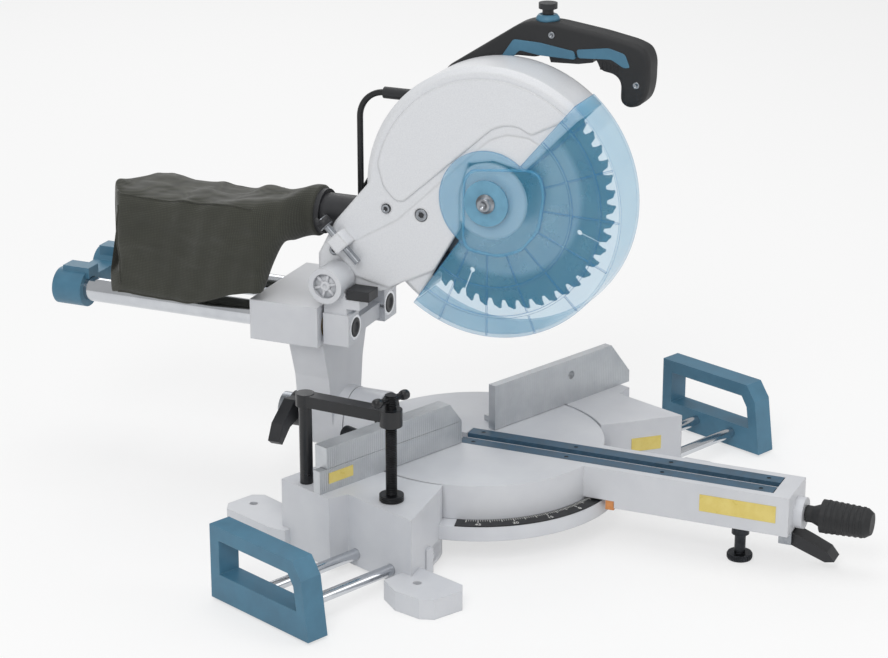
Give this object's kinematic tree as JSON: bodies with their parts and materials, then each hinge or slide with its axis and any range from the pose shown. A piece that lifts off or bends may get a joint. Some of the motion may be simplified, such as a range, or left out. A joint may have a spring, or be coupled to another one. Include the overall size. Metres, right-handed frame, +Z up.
{
  "type": "sliding compound mitre saw",
  "caption": "Bench mitre saw: a round blade in a grey case with a clear blue guard slides on poles over a turning, tilting table with fences, vise, extension holders and a dust bag.",
  "frame": {"origin": "turntable axis at bench level, the centre of the four base bolt holes", "axes": "+X to the operator's right along the fence, +Y to the back, +Z up"},
  "size_m": [0.73, 0.9085, 0.572],
  "materials": {
    "casting_paint": "light silver grey paint on cast aluminium",
    "case_paint": "pale grey paint with a fine fleck",
    "blue_plastic": "moulded blue plastic",
    "black_plastic": "moulded black plastic",
    "clear_guard": "clear blue polycarbonate",
    "machined": "machined aluminium",
    "steel": "ground steel",
    "dark_steel": "black oxide steel",
    "vise_paint": "black enamel",
    "scale_plate": "black scale with pale ticks",
    "label": "blank yellow plate",
    "pointer": "orange plastic",
    "canvas": "woven canvas",
    "cord_rubber": "black rubber cord",
    "bronze": "bearing bronze",
    "windings": "laminations and windings"
  },
  "bodies": {
    "base": {"base_casting": "casting_paint", "mitre_scale": "scale_plate", "lower_fence": "machined", "right_fence": "machined", "fence_screws": "dark_steel", "label_plates": "label", "pivot_bolt": "steel"},
    "turntable": {"turntable": "casting_paint", "kerf_boards": "blue_plastic", "kerf_screws": "dark_steel", "mitre_pointer": "pointer", "arm_label": "label", "lever_hanger": "steel", "bevel_scale": "scale_plate"},
    "mitre_grip": {"mitre_grip": "black_plastic"},
    "lock_lever": {"lock_lever": "black_plastic"},
    "level_bolt": {"level_bolt": "dark_steel"},
    "bevel_arm": {"bevel_arm": "casting_paint", "slide_bushings": "bronze", "bevel_shaft": "steel"},
    "bevel_lever": {"bevel_lever": "black_plastic"},
    "bevel_pin": {"bevel_pin": "steel"},
    "carriage": {"slide_poles": "steel", "pole_bracket": "casting_paint", "pivot_shaft": "steel", "rear_cap": "blue_plastic"},
    "stopper_arm": {"stopper_arm": "black_plastic"},
    "head": {"blade_case": "case_paint", "center_plate": "machined", "case_trim": "dark_steel", "gear_housing": "casting_paint", "bearings": "steel", "motor_housing": "black_plastic", "motor_cap": "black_plastic", "stator": "windings", "handle": "black_plastic", "handle_insert": "blue_plastic", "dust_nozzle": "black_plastic", "bag_collar": "black_plastic", "dust_bag": "canvas", "cord_guard": "black_plastic", "cord": "cord_rubber", "cord_coil": "cord_rubber", "plug": "black_plastic"},
    "lower_guard": {"lower_guard": "clear_guard"},
    "blade": {"blade": "steel", "flanges": "steel", "arbor_bolt": "steel", "spindle": "steel"},
    "armature": {"armature": "windings"},
    "trigger": {"trigger": "blue_plastic"},
    "lock_off_button": {"lock_off_button": "black_plastic"},
    "depth_screw": {"depth_screw": "steel"},
    "upper_fence": {"upper_fence": "machined"},
    "left_holder": {"left_holder": "blue_plastic", "left_rods": "steel"},
    "right_holder": {"right_holder": "blue_plastic", "right_rods": "steel"},
    "vise": {"vise_post": "vise_paint"},
    "vise_screw": {"vise_screw": "vise_paint"}
  },
  "joints": [
    {"name": "mitre_turn", "type": "hinge", "parent": "base", "child": "turntable", "pos_m": [0, 0, 0], "axis": [0, 0, 1], "range_deg": [-69.5, 24.5]},
    {"name": "grip_turn", "type": "hinge", "parent": "turntable", "child": "mitre_grip", "pos_m": [0.15307, -0.36955, 0.058], "axis": [-0.3827, 0.9239, 0], "range_deg": [0, 180]},
    {"name": "lever_press", "type": "hinge", "parent": "turntable", "child": "lock_lever", "pos_m": [0.13738, -0.33167, 0.033], "axis": [0.9239, 0.3827, 0], "range_deg": [0, 10], "stiffness_Nm_per_rad": 0.5, "springref_deg": -14.32},
    {"name": "level_bolt_screw", "type": "slide", "parent": "turntable", "child": "level_bolt", "axis": [0, 0, 1], "range_m": [0, 0.005]},
    {"name": "bevel_tilt", "type": "hinge", "parent": "turntable", "child": "bevel_arm", "pos_m": [-0.06123, 0.14782, 0.085], "axis": [-0.3827, 0.9239, 0], "range_deg": [-45, 5]},
    {"name": "bevel_lever_turn", "type": "hinge", "parent": "bevel_arm", "child": "bevel_lever", "pos_m": [-0.08342, 0.20141, 0.085], "axis": [-0.3827, 0.9239, 0], "range_deg": [0, 35]},
    {"name": "bevel_pin_pull", "type": "slide", "parent": "bevel_arm", "child": "bevel_pin", "axis": [-0.3827, 0.9239, 0], "range_m": [0, 0.008], "stiffness_N_per_m": 400, "springref_m": -0.005},
    {"name": "head_slide", "type": "slide", "parent": "bevel_arm", "child": "carriage", "axis": [0.3827, -0.9239, 0], "range_m": [0, 0.21]},
    {"name": "stopper_swing", "type": "hinge", "parent": "carriage", "child": "stopper_arm", "pos_m": [-0.09842, 0.09128, 0.25], "axis": [0, 0, -1], "range_deg": [0, 60]},
    {"name": "plunge", "type": "hinge", "parent": "carriage", "child": "head", "pos_m": [-0.05817, 0.14043, 0.263], "axis": [0.9239, 0.3827, 0], "range_deg": [0, 45], "stiffness_Nm_per_rad": 12, "springref_deg": -57.3},
    {"name": "guard_lift", "type": "hinge", "parent": "head", "child": "lower_guard", "pos_m": [0.00957, -0.0231, 0.37], "axis": [-0.9239, -0.3827, 0], "range_deg": [0, 125]},
    {"name": "blade_spin", "type": "hinge", "parent": "head", "child": "blade", "pos_m": [0.00957, -0.0231, 0.37], "axis": [0.9239, 0.3827, 0], "continuous": true},
    {"name": "armature_spin", "type": "hinge", "parent": "head", "child": "armature", "pos_m": [0.08978, 0.04457, 0.40182], "axis": [0.9239, 0.3827, 0], "continuous": true},
    {"name": "trigger_press", "type": "hinge", "parent": "head", "child": "trigger", "pos_m": [0.07921, -0.08409, 0.522], "axis": [0.9239, 0.3827, 0], "range_deg": [0, 6], "stiffness_Nm_per_rad": 0.6, "springref_deg": -17.19},
    {"name": "lock_off_press", "type": "slide", "parent": "head", "child": "lock_off_button", "axis": [0, 0, -1], "range_m": [0, 0.004], "stiffness_N_per_m": 300, "springref_m": -0.004},
    {"name": "depth_screw_set", "type": "slide", "parent": "head", "child": "depth_screw", "axis": [-0.2706, 0.6533, 0.7071], "range_m": [0, 0.008]},
    {"name": "upper_fence_slide", "type": "slide", "parent": "base", "child": "upper_fence", "axis": [-1, 0, 0], "range_m": [0, 0.06]},
    {"name": "left_holder_slide", "type": "slide", "parent": "base", "child": "left_holder", "axis": [1, 0, 0], "range_m": [0, 0.085]},
    {"name": "right_holder_slide", "type": "slide", "parent": "base", "child": "right_holder", "axis": [-1, 0, 0], "range_m": [0, 0.085]},
    {"name": "vise_swivel", "type": "hinge", "parent": "base", "child": "vise", "pos_m": [-0.222, 0.036, 0.1], "axis": [0, 0, 1], "range_deg": [-8, 8]},
    {"name": "vise_screw_lift", "type": "slide", "parent": "vise", "child": "vise_screw", "axis": [0, 0, 1], "range_m": [0, 0.04]}
  ],
  "couplings": [
    {"joint": "guard_lift", "follows": "plunge", "ratio": 2.7778},
    {"joint": "armature_spin", "follows": "blade_spin", "ratio": -4}
  ]
}
